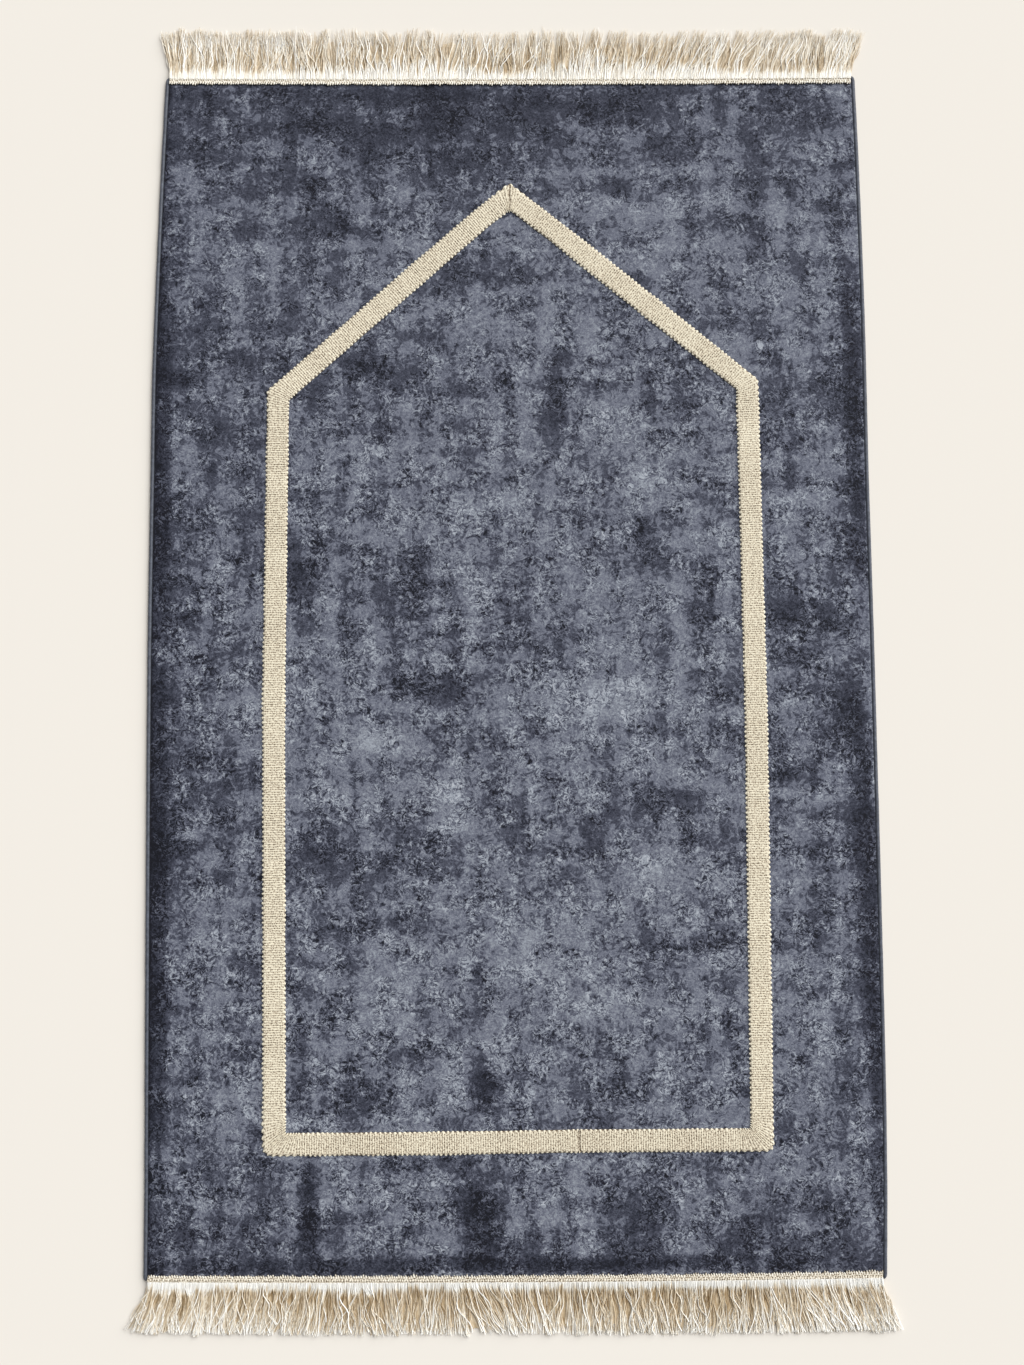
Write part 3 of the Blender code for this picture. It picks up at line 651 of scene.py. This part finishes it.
tell(braid, "relief", close_ring(tone_and_painted_light, np.full(foot_row.shape, FOOT_SHADE)))
tell(braid, "row", ring_row * BRAID_WIDTH / 2 / LOOP_ROW)
tell(braid, "pass", ring_pass)
close_up(60)


def looped_yarn(name, tones, evenness, pit_shade_gain, groove_shade_gain):
    """Pale cord laid in loops, with painted shade: small dark pits between them, broken dark lines
    between passes.
    """
    material, tree, shader = new_material(name)
    # The relief attribute brings the piece's tone, with its painted highlights and shade.
    relief = add_node(tree, "Attribute", attribute_name="relief").outputs["Fac"]
    row = add_node(tree, "Attribute", attribute_name="row").outputs["Fac"]
    turn = add_node(tree, "Attribute", attribute_name="pass").outputs["Fac"]
    loops = add_node(tree, "CombineXYZ", {"X": turn, "Y": row}).outputs[0]
    loops = drifted(tree, loops, 0.7, 0.7 * (1 - evenness), 0.0)
    pits = add_node(tree, "TexVoronoi", {"Vector": loops, "Scale": 1.0, "Randomness": 1 - evenness},
                    voronoi_dimensions="2D")
    pits = add_node(tree, "MapRange", {0: pits.outputs["Distance"], 1: 0.14, 2: 0.44, 3: 1.0, 4: 0.0},
                    interpolation_type="SMOOTHSTEP")
    groove = add_node(tree, "Math", {0: turn}, operation="FRACT")
    groove = add_node(tree, "Math", {0: groove.outputs[0], 1: 0.5}, operation="SUBTRACT")
    groove = add_node(tree, "Math", {0: groove.outputs[0]}, operation="ABSOLUTE")
    groove = add_node(tree, "MapRange", {0: groove.outputs[0], 1: 0.04, 2: 0.34, 3: 1.0, 4: 0.0},
                      interpolation_type="SMOOTHSTEP")
    broken = add_node(tree, "TexNoise", {"Vector": loops, "Scale": 0.45, "Detail": 2.0})
    broken = add_node(tree, "MapRange", {0: broken.outputs[0], 1: 0.40, 2: 0.62, 3: 0.15, 4: 1.0})
    groove = add_node(tree, "Math", {0: groove.outputs[0], 1: broken.outputs[0]}, operation="MULTIPLY")
    tone = add_node(tree, "Math", {0: pits.outputs[0], 1: -pit_shade_gain, 2: relief},
                    operation="MULTIPLY_ADD").outputs[0]
    tone = add_node(tree, "Math", {0: groove.outputs[0], 1: -groove_shade_gain, 2: tone},
                    operation="MULTIPLY_ADD").outputs[0]
    place = add_node(tree, "TexCoord").outputs["Object"]
    tone = patch_layer(tree, tone, loops, (2.4, 0.8, 1), 1.0, 0.55, 4.0)
    tone = patch_layer(tree, tone, place, YARN_FUZZ, 1.0, 0.58, 0.0)
    dye(tree, shader, tone, tones, 0.0005, {"Roughness": 0.7, "Specular IOR Level": 0.3})
    return material


# Cream cotton gimp, matt, with brown shade in every gap of the cord.
cotton_gimp = looped_yarn("cotton_gimp", BRAID_TONES, 0.2, 0.46, 0.32)
finish_piece(braid, cotton_gimp, "mihrab_braid")

# ---------------------------------------------------------------------------------------------
# The side bindings: the same velvet cut on the bias, turned round the raw edge and stitched in
# the groove beside the pile. Each is a smooth slate roll with a soft highlight along it.

BINDING_PAST_END = 0.0040
BINDING_STATIONS = 420
# The roll's section, from the floor outside to the floor in the groove: how far in and how high.
BINDING_PROFILE = ((0.0005, 0.0), (0.0001, 0.0006), (0.0, 0.0013), (0.0, 0.0021), (0.0003, 0.0029),
                   (0.0008, 0.0035), (0.0014, 0.0039), (0.0021, 0.0040), (0.0028, 0.0038),
                   (0.0033, 0.0034), (0.0036, 0.0029), (0.0037, 0.0023), (0.0037, 0.0))
# How it rounds off at its ends: the way in from the end, the tuck, and the share of its height.
BINDING_ROUNDING = ((0.0, 0.0019, 0.62), (0.0008, 0.0010, 0.82), (0.0024, 0.0003, 0.96),
                    (0.0050, 0.0, 1.0))
STITCH_SPAN = 0.011
STITCH_SWAY = 0.00008
STITCH_SWELL = 0.035
BINDING_NAP = 260.0
BINDING_TONES = ((0.25, "2d313b"), (0.5, "454a56"), (0.75, "595f6d"))

# Velvet pulled tight on the bias: a short level nap, 4 mm in its broadest mottle, with a soft sheen.
binding_cloth, tree, shader = new_material("velvet_binding")
place = add_node(tree, "TexCoord").outputs["Object"]
nap = add_node(tree, "TexNoise", {"Vector": place, "Scale": BINDING_NAP, "Detail": 3.0,
                                  "Roughness": 0.7}).outputs[0]
dye(tree, shader, nap, BINDING_TONES, 0.0003, {"Roughness": 0.55, "Sheen Weight": 0.25})

inset, rise = np.array(BINDING_PROFILE).T
inside, turned, kept = np.array(BINDING_ROUNDING).T
for column, inward in (("left", 1), ("right", -1)):
    draw = np.random.default_rng(21 if inward > 0 else 22)
    edge_x = edge_at(np.array((-0.58, 0.58)), column)
    low = end_at(NEAR_END, edge_x[0], BINDING_PAST_END)
    high = end_at(FAR_END, edge_x[1], BINDING_PAST_END)
    along = low + (high - low) * crowd(BINDING_STATIONS)
    from_end = np.minimum(along - low, high - along)
    tuck = np.interp(from_end, inside, turned)
    keep = np.interp(from_end, inside, kept)
    knots = np.arange(low - 0.02, high + 0.03, STITCH_SPAN)
    sway = np.interp(along, knots, draw.normal(0, STITCH_SWAY, len(knots)))
    swell = 1 - np.abs(np.interp(along, knots, draw.normal(0, STITCH_SWELL, len(knots))))
    narrow = 1 - tuck / BINDING_WIDTH
    points = np.zeros((len(along), len(inset) + 1, 3))
    for k in range(len(inset) + 1):
        j = k % len(inset)
        depth = tuck + inset[j] * narrow + sway * (rise[j] > 0) * (inset[j] < 0.0033)
        points[:, k, 0] = edge_at(along, column) + inward * np.maximum(depth, 0)
        points[:, k, 1] = along
        points[:, k, 2] = rise[j] * keep * swell
    binding = lay_grid("binding_roll_" + column, points)
    close_up(70)
    finish_piece(binding, binding_cloth, "binding_" + column)

# ---------------------------------------------------------------------------------------------
# The heading tapes: chainette looped back and forth into a narrow braid, sewn over the raw end
# of the pile. Picots stand along the inner edge, and the fringe is worked into the outer one.

TAPE_FOOT = 0.0028
TAPE_CROWN = 0.0051
PICOT_PITCH = 0.00235
PICOT_DEPTH = 0.0021
SCALLOP_PITCH = 0.0102
SCALLOP_DEPTH = 0.0006
TAPE_STEP = 0.00042
TAPE_ROWS = 12
TAPE_WANDER = 0.012
# The foot ring under the tape is painted dark, as the shade under its edges.
TAPE_FOOT_SHADE = -0.5
TAPE_TONES = ((0.0, "5f4f3a"), (0.2, "9c8c75"), (0.4, "c3b7a2"), (0.6, "d9cfbd"), (0.8, "ebe4d5"),
              (1.0, "faf6ec"))

# Cotton chainette, paler and more even than the gimp, with brown shade painted in the eye of each
# loop.
chainette = looped_yarn("chainette_heading", TAPE_TONES, 0.45, 0.66, 0.40)
# Where each tape ends across the rug, which its fringe reads again.
TAPE_ENDS = {}
Tape = namedtuple("Tape", "name node end light crease seed")
for t in (Tape("heading_far", "fringe_far", FAR_END, 0.92, 0.40, 31),
          Tape("heading_near", "fringe_near", NEAR_END, 0.80, 0.12, 32)):
    draw = np.random.default_rng(t.seed)
    near_y = end_at(t.end, 0, 0)
    tape_left = edge_at(near_y, "left") + BINDING_WIDTH + 2 * SEAM_GAP
    tape_right = edge_at(near_y, "right") - BINDING_WIDTH - 2 * SEAM_GAP
    TAPE_ENDS[t.node] = (tape_left, tape_right)
    across = np.arange(tape_left, tape_right, TAPE_STEP)
    wander = np.arange(tape_left, tape_right + 0.02, TAPE_WANDER)
    turn = across / PICOT_PITCH + np.interp(across, wander, draw.normal(0, 0.2, len(wander)))
    bulge = draw.normal(1.0, 0.22, int(turn.max() - turn.min()) + 3)
    picot = np.abs(np.cos(np.pi * turn))
    picot = picot * bulge[(np.floor(turn + 0.5) - np.floor(turn.min())).astype(int)]
    knots = np.arange(tape_left - SCALLOP_PITCH, tape_right + 2 * SCALLOP_PITCH, SCALLOP_PITCH)
    drift_of = np.interp(across, knots, draw.normal(0, 0.35, len(knots)))
    scallop = np.abs(np.sin(np.pi * across / SCALLOP_PITCH + drift_of))
    start = -inset_at(t.end, across) - PICOT_DEPTH * (picot - 0.4) - SCALLOP_DEPTH * (scallop - 0.5)

    # Three rows of loops, each half a picot on from the last, with a shallow gap between rows.
    w = np.linspace(0, 1, TAPE_ROWS)[None, :]
    row = np.floor(w * 2.999)
    loops = np.abs(np.cos(np.pi * (turn[:, None] + 0.5 * row)))
    between = np.abs(np.sin(np.pi * w * 3))
    past = start[:, None] + (TAPE_WIDTH - start[:, None]) * w
    body = np.minimum(1, np.minimum(0.95 + w, 0.36 + 1.7 * (1 - w)))
    z = TAPE_FOOT + (TAPE_CROWN - TAPE_FOOT) * body * (0.62 + 0.38 * loops * (0.85 + 0.15 * between))

    # Painted highlight on the loops and picots, and painted shade in a crease along the tape wherever
    # it buckles.
    tone_and_painted_light = t.light + 0.18 * (loops - 0.6) * (0.5 + 0.5 * between) + 0.20 * (w < 0.12)
    crease = np.clip(np.interp(across, wander[::2], draw.normal(-0.2, 1.0, len(wander[::2]))), 0, 1)
    crease_at = 0.66 + np.interp(across, wander, draw.normal(0, 0.07, len(wander)))
    tone_and_painted_light -= t.crease * crease[:, None] * np.clip(1.5 - np.abs(w - crease_at[:, None]) / 0.05, 0, 1)
    tone_and_painted_light = tone_and_painted_light + draw.normal(0, 0.05, z.shape)
    foot_w = np.array((0.97, 0.5, 0.03))[None, :]
    foot_past = start[:, None] + (TAPE_WIDTH - start[:, None]) * foot_w
    past = close_ring(past, foot_past)
    z = close_ring(z, np.full(foot_past.shape, TAPE_FOOT))
    tone_and_painted_light = close_ring(tone_and_painted_light, np.full(foot_past.shape, TAPE_FOOT_SHADE))
    ring_x = np.broadcast_to(across[:, None], past.shape)
    tape = lay_grid(t.name, np.dstack((ring_x, end_at(t.end, ring_x, past), z)))
    tell(tape, "relief", tone_and_painted_light)
    tell(tape, "row", past / TAPE_WIDTH * 2.6)
    across_row = np.concatenate((row[0], (2, 1, 0, 0)))
    tell(tape, "pass", turn[:, None] + 0.5 + 0.5 * across_row)
    close_up(60)
    finish_piece(tape, chainette, t.node)

# ---------------------------------------------------------------------------------------------
# The fringes: soft rayon floss looped through the heading and cut to just under 50 mm. It leaves
# the tape in a ragged band of painted highlight, then falls into curling locks over a mat of finer
# ends, painted tan as the shade between them.

STRANDS = 3150
STRAND_STEPS = 10
THINNEST = 0.00027
THICKER = 0.00018
STRAY_THICKER = 0.00008
LOCK_PITCH = 0.0030
LOCK_BLUR = 0.0006
LOCK_WAVE = 0.0016
STRAND_CURL = 0.0006
ROOT_WANDER = 0.0003
START_WANDER = 0.0004
STRAY_FROM = 0.94
OWN_LEAN = 0.0024
STRAY_LEAN = (0.003, 0.0075)
SHORT_SHARE = 0.35
SHORT_BY = 0.012
# How high the lowest strand lies, how deep they lie over it, and the same where they leave the tape.
LIE_LOW = 0.0008
LIE_DEEP = 0.0022
LEAVE_LOW = 0.0043
LEAVE_DEEP = 0.0009
SPLAY_RUN = 0.040
FULL_TURN = 6.28
MAT_STEP = 0.0010
MAT_ROWS = 8
MAT_INSET = 0.0025
MAT_FOOT = 0.00002
MAT_THICK = 0.0012
MAT_LIFT = 0.0022
FLOSS_GRAIN = (900, 300, 900)
FLOSS_TONES = ((0.0, "68502e"), (0.2, "a08661"), (0.4, "c3ae8d"), (0.6, "dccdb4"), (0.8, "f2ecdf"),
               (1.0, "fdfcf8"))
Fringe = namedtuple("Fringe", "node end length_left length_right splay_left splay_right lean ragged "
                              "taper cover mat band_tone low high tip_light seed")
FRINGES = (
    Fringe("fringe_far", FAR_END, length_left=0.0490, length_right=0.0495, splay_left=0.0060,
           splay_right=0.0080, lean=0.0034, ragged=0.0020, taper=0.40, cover=0.0026, mat=0.74,
           band_tone=0.88, low=0.47, high=0.65, tip_light=0.0, seed=41),
    Fringe("fringe_near", NEAR_END, length_left=0.0470, length_right=0.0485, splay_left=0.0155,
           splay_right=0.0030, lean=0.0034, ragged=0.0009, taper=1.0, cover=0.0014, mat=0.88,
           band_tone=1.0, low=0.36, high=0.61, tip_light=0.24, seed=42))
# How far the floss leans to the right, and how long its band of painted highlight is, at places
# across the rug.
Lie = namedtuple("Lie", "across lean band")
LIES = {
    "fringe_far": [Lie(*row) for row in (
        (-0.34, -0.001, 0.007), (-0.28, 0.001, 0.010), (-0.25, 0.005, 0.009), (-0.20, 0.001, 0.010),
        (-0.15, 0.002, 0.013), (-0.12, 0.000, 0.020), (-0.08, 0.003, 0.022), (-0.05, 0.008, 0.018),
        (-0.02, 0.010, 0.008), (0.01, 0.004, 0.007), (0.04, 0.001, 0.016), (0.08, 0.006, 0.024),
        (0.12, 0.012, 0.018), (0.17, 0.014, 0.016), (0.22, 0.014, 0.010), (0.27, 0.012, 0.008),
        (0.31, 0.006, 0.008), (0.35, 0.004, 0.010))],
    "fringe_near": [Lie(*row) for row in (
        (-0.35, -0.002, 0.007), (-0.31, 0.000, 0.010), (-0.28, -0.006, 0.005), (-0.25, -0.008, 0.006),
        (-0.22, -0.002, 0.006), (-0.19, -0.004, 0.007), (-0.16, -0.003, 0.010), (-0.13, 0.007, 0.010),
        (-0.10, 0.002, 0.005), (-0.06, 0.004, 0.007), (-0.03, 0.013, 0.006), (0.01, 0.008, 0.007),
        (0.04, 0.001, 0.005), (0.08, 0.007, 0.006), (0.12, 0.004, 0.006), (0.16, -0.002, 0.007),
        (0.20, 0.003, 0.006), (0.25, 0.008, 0.006), (0.30, 0.010, 0.007), (0.35, 0.008, 0.008))]}

# Rayon floss, spun soft: silky and champagne, painted near white in its highlights and tan in its
# shade.
rayon_floss, tree, shader = new_material("rayon_floss")
shine = add_node(tree, "Attribute", attribute_name="shine").outputs["Fac"]
place = add_node(tree, "TexCoord").outputs["Object"]
shine = patch_layer(tree, shine, place, FLOSS_GRAIN, 1.0, 0.45, 0.0)
dye(tree, shader, shine, FLOSS_TONES, 0, {"Roughness": 0.42, "Specular IOR Level": 0.4})


def splay_at(fringe, across, left, right):
    """How far the fringe spreads past its own two ends, less and less towards its middle."""
    return (fringe.splay_right * np.exp((across - right) / SPLAY_RUN)
            - fringe.splay_left * np.exp((left - across) / SPLAY_RUN))


for f in FRINGES:
    draw = np.random.default_rng(f.seed)
    left, right = TAPE_ENDS[f.node]
    bpy.ops.mesh.primitive_circle_add(vertices=3, radius=1, fill_type="NGON")
    strand = bpy.context.object
    strand.name = strand.data.name = f.node.replace("fringe", "floss")
    bpy.ops.object.mode_set(mode="EDIT")
    for step in range(STRAND_STEPS):
        bpy.ops.mesh.extrude_region_move(TRANSFORM_OT_translate={"value": (0, 0, 1 / STRAND_STEPS)})
    bpy.ops.object.mode_set(mode="OBJECT")
    base = np.empty(len(strand.data.vertices) * 3, np.float32)
    strand.data.vertices.foreach_get("co", base)
    base = base.reshape(-1, 3).astype(float)
    array = strand.modifiers.new("strands", "ARRAY")
    array.count = STRANDS
    array.use_relative_offset = False
    bpy.ops.object.modifier_apply(modifier=array.name)

    # The strands hang together in locks. Each lock leans, waves and shines in its own way.
    root = left + ROOT_WANDER + (right - left - 2 * ROOT_WANDER) * crowd(STRANDS - 1)
    root += draw.uniform(-ROOT_WANDER, ROOT_WANDER, STRANDS)
    layer = draw.uniform(0, 1, STRANDS)
    lock = np.floor((root - left + draw.normal(0, LOCK_BLUR, STRANDS)) / LOCK_PITCH).astype(int)
    lock = np.clip(lock, 0, lock.max())
    locks = lock.max() + 1
    centre = left + (np.arange(locks) + 0.5) * LOCK_PITCH
    knots = np.arange(0, locks + 4, 4)
    lie_across, lie_lean, lie_band = np.array(LIES[f.node]).T
    leaning = np.interp(centre, lie_across, lie_lean)
    calm = 1 - 0.8 * np.exp(-np.minimum(centre - left, right - centre) / 0.015)
    leaning += calm * np.interp(np.arange(locks), knots, draw.normal(0, f.lean, len(knots)))
    leaning += calm * draw.normal(0, f.lean * 0.6, locks)
    wave = draw.normal(0, LOCK_WAVE, locks)
    wave_run = draw.uniform(0.6, 1.5, locks)
    wave_at = draw.uniform(0, FULL_TURN, locks)
    band = np.interp(centre, lie_across, lie_band)
    band *= draw.uniform(0.6, 1.4, locks)
    lock_tone = draw.normal(0, 0.045, locks)
    lock_long = draw.normal(0, f.ragged, locks)

    # Sideways, from root to tip: pulled into the lock, splayed, leaning, waving and curling.
    t = base[:, 2][None, :]
    column = (slice(None), None)
    pull = (centre[lock] - root)[column] * (0.7 * ease(t * 1.4))
    splay = splay_at(f, root, left, right)
    stray = layer > STRAY_FROM
    own_lean = draw.normal(0, OWN_LEAN, STRANDS)
    own_lean += stray * draw.normal(*STRAY_LEAN, STRANDS) * calm[lock]
    sideways = (splay + leaning[lock] + own_lean)[column] * t ** 1.3
    sway = wave[lock][column] * (np.sin(FULL_TURN * wave_run[lock][column] * t + wave_at[lock][column])
                                 - np.sin(wave_at[lock])[column]) * ease(t * 2)
    curl_at = draw.uniform(0, FULL_TURN, STRANDS)[column]
    curl_run = draw.uniform(1.0, 2.6, STRANDS)[column]
    curl_wide = (draw.normal(0, STRAND_CURL, STRANDS) * (1 + stray))[column]
    curl = curl_wide * np.sin(FULL_TURN * curl_run * t + curl_at) * ease(t * 3)
    across = root[column] + pull + sideways + sway + curl

    # Outwards: a strand that leans far ends a little sooner, and a third of them are cut short.
    long = (f.length_left + (f.length_right - f.length_left) * (root - left) / (right - left)
            + lock_long[lock] + draw.normal(0, f.ragged * 0.6, STRANDS)
            - (draw.uniform(0, 1, STRANDS) < SHORT_SHARE) * draw.uniform(0, SHORT_BY, STRANDS))
    start = (TAPE_WIDTH - f.cover + 0.0012 - inset_at(f.end, root)
             + draw.uniform(-START_WANDER, START_WANDER, STRANDS))
    tip_off = np.clip(splay + leaning[lock] + own_lean, -0.6 * long, 0.6 * long)
    forward = np.sqrt(long ** 2 - 0.6 * tip_off ** 2)
    past = start[column] + forward[column] * t

    # Up and down: it leaves the tape at its crown, then lies on the strands below it.
    radius = THINNEST + THICKER * draw.uniform(0, 1, STRANDS) + STRAY_THICKER * stray
    lie = radius + LIE_LOW + LIE_DEEP * layer
    leave = LEAVE_LOW + LEAVE_DEEP * layer
    z = lie[column] + (leave - lie)[column] * (1 - ease(t / 0.26))
    z = z + 0.0003 * np.sin(t * 8 + curl_at) * ease(t * 2)
    width = radius[column] * (1 - (1 - f.taper) * ease((t - 0.6) / 0.4))
    spin = np.arctan2(base[:, 1], base[:, 0])[None, :] + curl_at
    skew = f.end.outward * tip_off[column] / long[column]
    put = np.zeros((STRANDS, len(base), 3))
    put[:, :, 0] = across + width * np.cos(spin)
    put[:, :, 1] = end_at(f.end, across, past) - skew * width * np.cos(spin)
    put[:, :, 2] = np.maximum(z + width * np.sin(spin), 0.00003)
    strand.data.vertices.foreach_set("co", put.astype(np.float32).ravel())
    strand.data.update()

    # A band of painted highlight by the tape, then tan with painted shade that pales towards the tip,
    # with painted glints on the curls and a painted highlight on the tips.
    run = long[column] * t
    highlight_share = ease((band[lock][column] - run) / 0.006 + 0.5)
    shade = f.low + (f.high - f.low) * ease((run - band[lock][column]) / 0.036)
    glint = 0.22 * np.maximum(0, np.sin(FULL_TURN * curl_run * t * 0.8 + curl_at + 1)) ** 3
    # Painted light and shade by layer: the upper strands and the strays on top lighter, the lower ones
    # darker.
    own_tone_and_shade = (lock_tone[lock] + draw.normal(0, 0.11, STRANDS) + 0.26 * (layer - 0.5)
                + 0.16 * stray)[column]
    tone_and_painted_light = (f.band_tone * highlight_share + (shade + glint + own_tone_and_shade) * (1 - highlight_share)
               + 0.35 * own_tone_and_shade * highlight_share + f.tip_light * ease((t - 0.88) / 0.08))
    tell(strand, "shine", tone_and_painted_light)
    bpy.ops.object.mode_set(mode="EDIT")
    face_out(80)
    finish_piece(strand, rayon_floss, f.node)

    # The mat: the lowest, finest ends, matted into one ragged layer that hides the floor. It is
    # painted dark tan as the shade between the strands, paling outwards, with a painted highlight
    # under the band.
    over = np.arange(left + MAT_INSET, right - MAT_INSET, MAT_STEP)
    reach_of = np.interp(over, centre, draw.uniform(f.mat - 0.09, f.mat + 0.09, locks)) * f.length_left
    reach_of *= 1 - 0.3 * np.exp(-np.minimum(over - left, right - over) / 0.008)
    w = np.linspace(0, 1, MAT_ROWS)[None, :]
    leaning = np.interp(over, lie_across, lie_lean)
    splay = (splay_at(f, over, left, right) + leaning)[column] * 0.85
    past = TAPE_WIDTH + 0.0004 - inset_at(f.end, over)[column] + reach_of[column] * w
    mat_x = over[column] + splay * w ** 1.3
    mat_z = MAT_THICK + MAT_LIFT * (1 - ease(w / 0.24)) + 0.0003 * (1 - w)
    mat_z = np.broadcast_to(mat_z, mat_x.shape)
    mat_shade_tone = (f.low - 0.14) + 0.30 * w + 0.4 * (w < 0.08)
    mat_shade_tone = mat_shade_tone + draw.normal(0, 0.10, (len(over), MAT_ROWS))
    mat_x = close_ring(mat_x, mat_x[:, ::-1])
    past = close_ring(past, past[:, ::-1])
    mat_z = close_ring(mat_z, np.full(mat_z.shape, MAT_FOOT))
    mat_shade_tone = close_ring(mat_shade_tone, mat_shade_tone[:, ::-1])
    points = np.dstack((mat_x, end_at(f.end, mat_x, past), mat_z))
    mat = lay_grid(f.node.replace("fringe", "mat"), points)
    tell(mat, "shine", mat_shade_tone)
    close_up(60)
    finish_piece(mat, rayon_floss, f.node)
